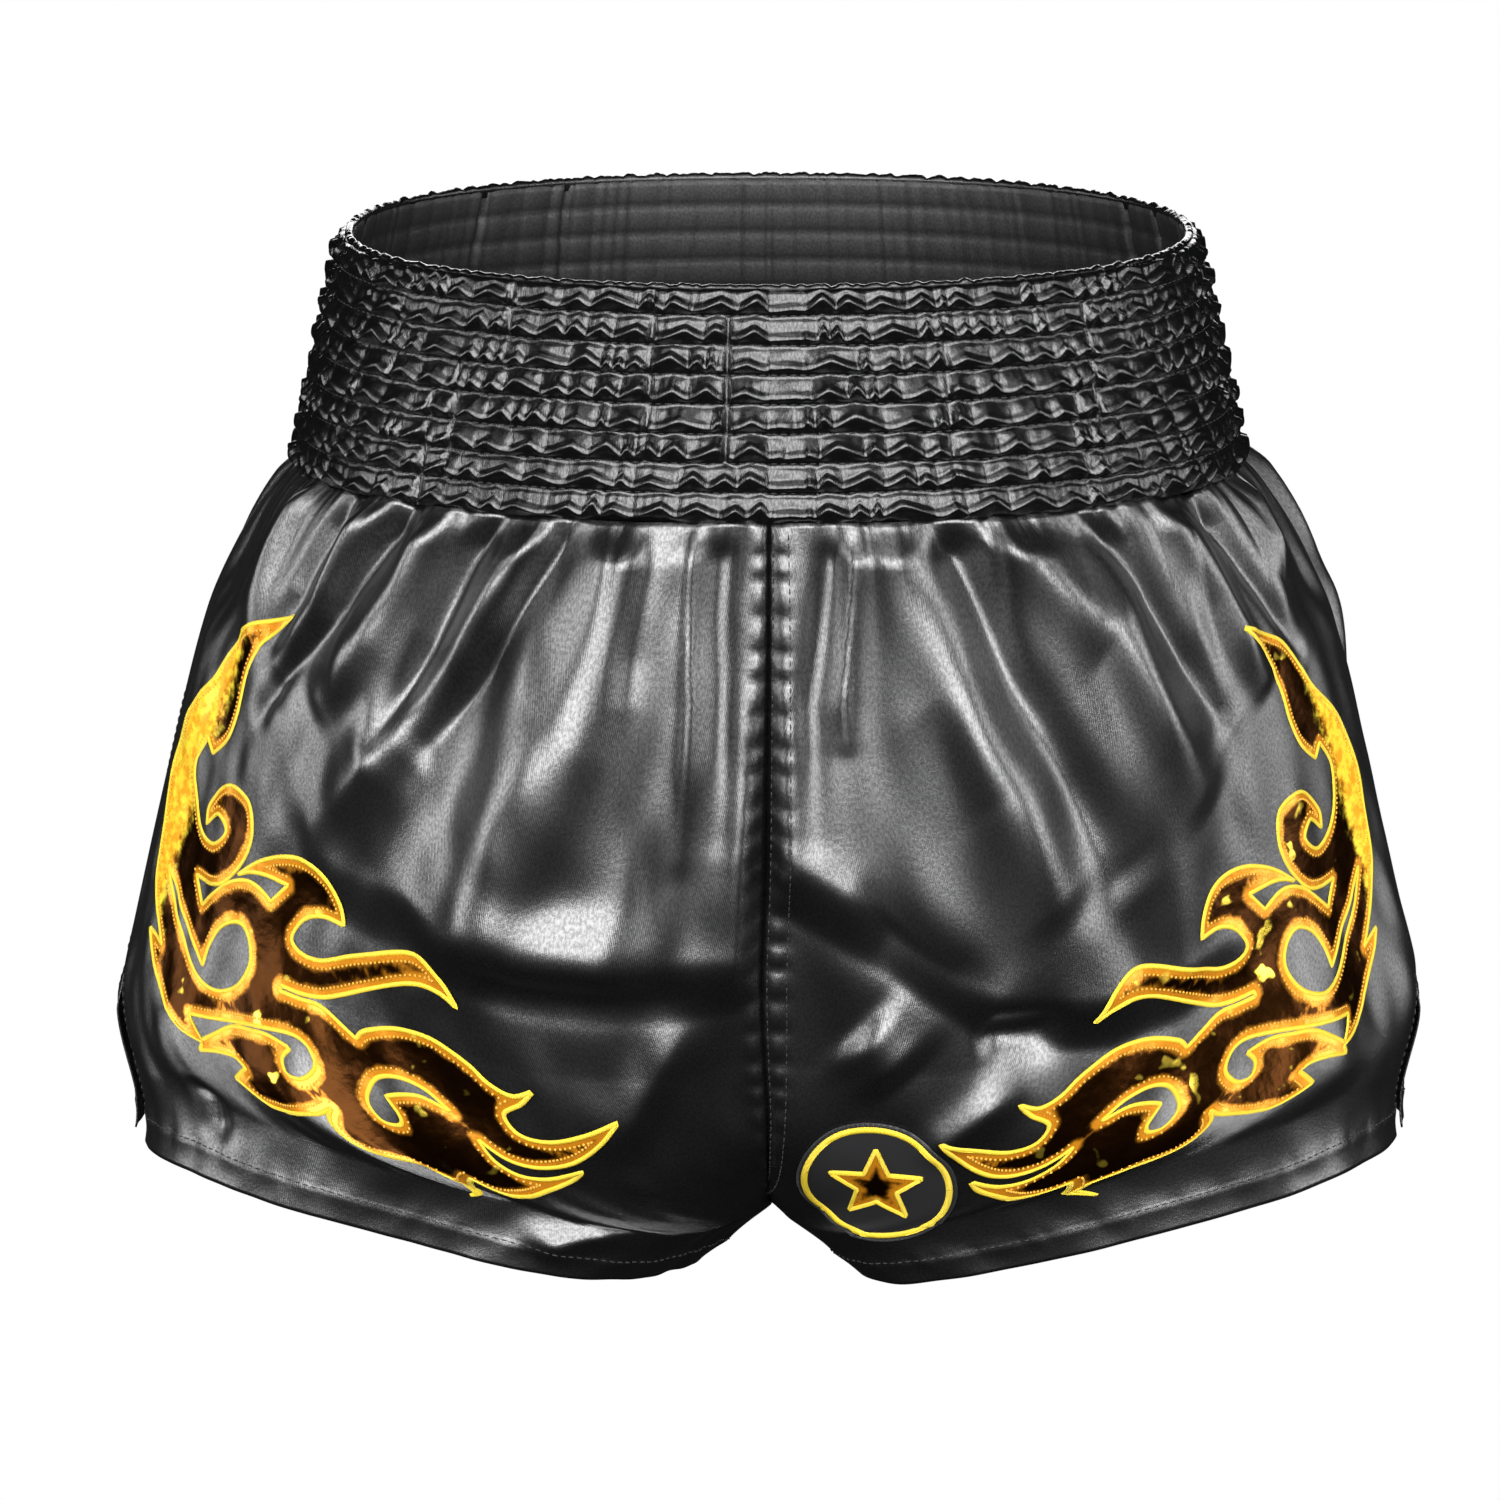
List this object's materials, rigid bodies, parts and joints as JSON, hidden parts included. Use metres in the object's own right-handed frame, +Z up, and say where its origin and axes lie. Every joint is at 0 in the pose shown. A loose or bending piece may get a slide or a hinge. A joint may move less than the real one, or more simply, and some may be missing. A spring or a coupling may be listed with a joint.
{
  "type": "boxing shorts",
  "caption": "Short flared satin boxing shorts with a shirred elastic waistband, notched side vents, gold flame appliques and a round star badge.",
  "frame": {"origin": "on the plane of the lowest hem, under the middle of the shorts' bounding box", "axes": "+Z up through the waist opening, +X to the wearer's left, -Y out of the front"},
  "size_m": [0.475, 0.2468, 0.371],
  "materials": {
    "panel_satin": "glossy black polyester satin, soft broad highlights",
    "waistband_satin": "black satin shirred into fine vertical puckers",
    "elastic": "matte woven elastic",
    "black_thread": "black polyester sewing thread",
    "gold_foil": "mirror-like gold foil bonded to cloth",
    "gold_thread": "bright yellow-gold satin stitch",
    "badge_cloth": "black twill badge ground"
  },
  "bodies": {
    "root": {"waistband_casing": "waistband_satin", "elastic_band_1": "elastic", "elastic_band_2": "elastic", "elastic_band_3": "elastic", "elastic_band_4": "elastic", "elastic_band_5": "elastic", "elastic_band_6": "elastic", "elastic_band_7": "elastic", "elastic_band_8": "elastic", "shirring_thread_1": "black_thread", "shirring_thread_2": "black_thread", "shirring_thread_3": "black_thread", "shirring_thread_4": "black_thread", "shirring_thread_5": "black_thread", "shirring_thread_6": "black_thread", "shirring_thread_7": "black_thread", "front_panel_right": "panel_satin", "front_panel_left": "panel_satin", "back_panel_right": "panel_satin", "back_panel_left": "panel_satin", "flame_applique_right": "gold_foil", "flame_applique_left": "gold_foil", "badge_patch": "badge_cloth", "badge_ring": "gold_thread", "badge_star": "gold_thread", "rise_thread_front_inner": "black_thread", "rise_thread_front_outer": "black_thread", "hem_thread_front_right": "black_thread", "hem_thread_front_left": "black_thread", "vent_thread_front_right": "black_thread", "vent_thread_front_left": "black_thread", "rise_thread_back_inner": "black_thread", "rise_thread_back_outer": "black_thread", "hem_thread_back_right": "black_thread", "hem_thread_back_left": "black_thread", "vent_thread_back_right": "black_thread", "vent_thread_back_left": "black_thread", "side_seam_thread_right": "black_thread", "side_seam_thread_left": "black_thread"}
  },
  "joints": []
}
